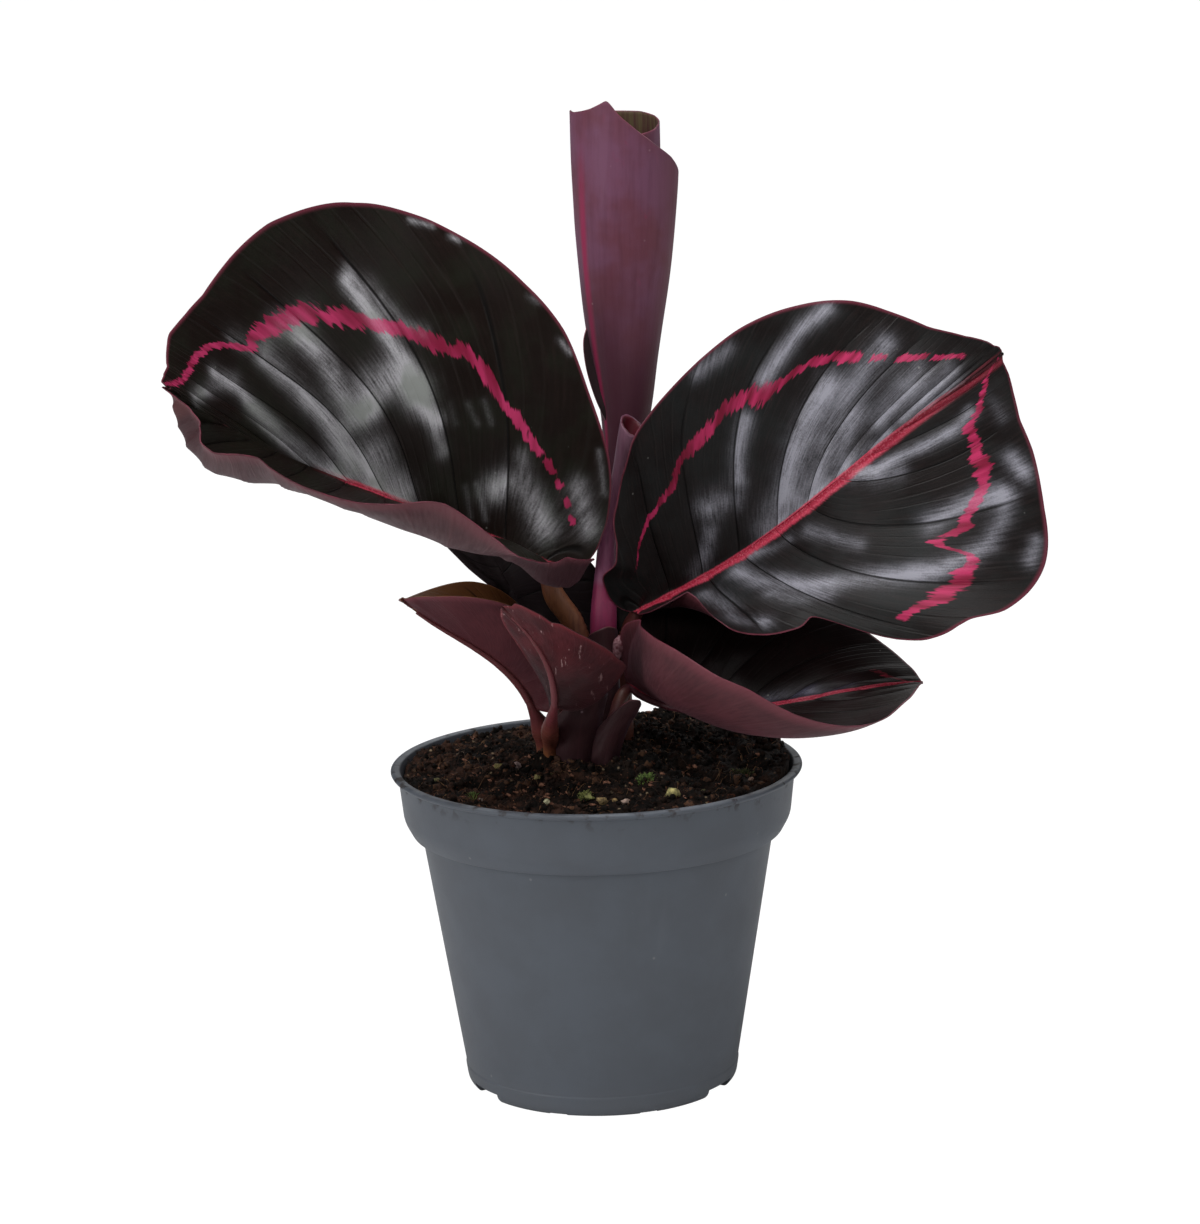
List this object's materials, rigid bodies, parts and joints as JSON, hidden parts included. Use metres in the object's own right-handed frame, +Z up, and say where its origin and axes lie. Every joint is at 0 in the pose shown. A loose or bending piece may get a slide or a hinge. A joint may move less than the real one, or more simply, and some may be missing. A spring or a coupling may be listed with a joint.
{
  "type": "potted calathea",
  "caption": "Young calathea in a tapered plastic nursery pot of peat, with open patterned leaves, low half-open leaves, a tall rolled leaf and a new shoot.",
  "frame": {"origin": "middle of the pot's foot pad, on the surface that the pot stands on", "axes": "+Z up along the pot's axis; front, the side seen in the picture, towards -Y; +X to the viewer's right"},
  "size_m": [0.2424, 0.1539, 0.2853],
  "materials": {
    "pot_plastic": "matte",
    "peat": "rough",
    "open_leaf": "satin",
    "low_leaf": "satin",
    "rolled_leaf": "matte",
    "young_shoot": "satin",
    "sheath": "matte"
  },
  "bodies": {
    "root": {"pot": "pot_plastic", "soil": "peat", "leaf_left": "open_leaf", "leaf_right": "open_leaf", "leaf_low_right": "low_leaf", "leaf_low_left": "low_leaf", "leaf_low_front": "low_leaf", "leaf_back_left": "low_leaf", "leaf_rolled": "rolled_leaf", "shoot_young": "young_shoot", "sheath_left": "sheath", "sheath_right": "sheath"}
  },
  "joints": []
}
